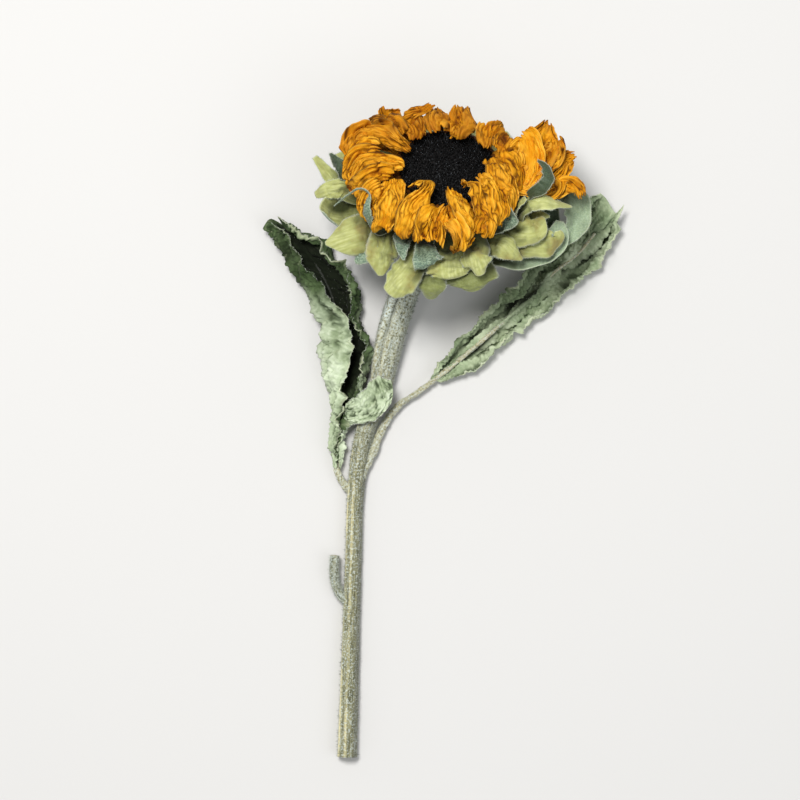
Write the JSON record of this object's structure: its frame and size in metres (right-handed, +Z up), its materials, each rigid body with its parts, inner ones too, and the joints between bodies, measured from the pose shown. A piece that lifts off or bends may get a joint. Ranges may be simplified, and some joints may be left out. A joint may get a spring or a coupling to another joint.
{
  "type": "dried cut sunflower",
  "caption": "Dried cut sunflower lying flat: ribbed stalk with cut end, two curled leaves, pale green bracts, shrivelled yellow petals curling in over a black seed disc.",
  "frame": {"origin": "on the table, under the middle of the plant's bounding box", "axes": "+Z up from the table, +Y along the stalk from the cut end to the head, +X to the right seen from above"},
  "size_m": [0.1835, 0.3293, 0.09],
  "materials": {
    "stalk": "dry ribbed grey-green stalk with straw ridges and short white bristles",
    "bract": "dry papery yellow-green, grey-green outside, with pale hairy margins",
    "seed_disc": "matt black bristly dried florets",
    "petal": "dry papery golden yellow with lengthwise creases, brown in the folds",
    "leaf": "dry crumpled leaf, dark green above, pale sage below, cream veins"
  },
  "bodies": {
    "root": {"stem": "stalk", "involucre": "bract", "disc": "seed_disc", "ray_petals": "petal", "leaf_left": "leaf", "leaf_right": "leaf"}
  },
  "joints": []
}
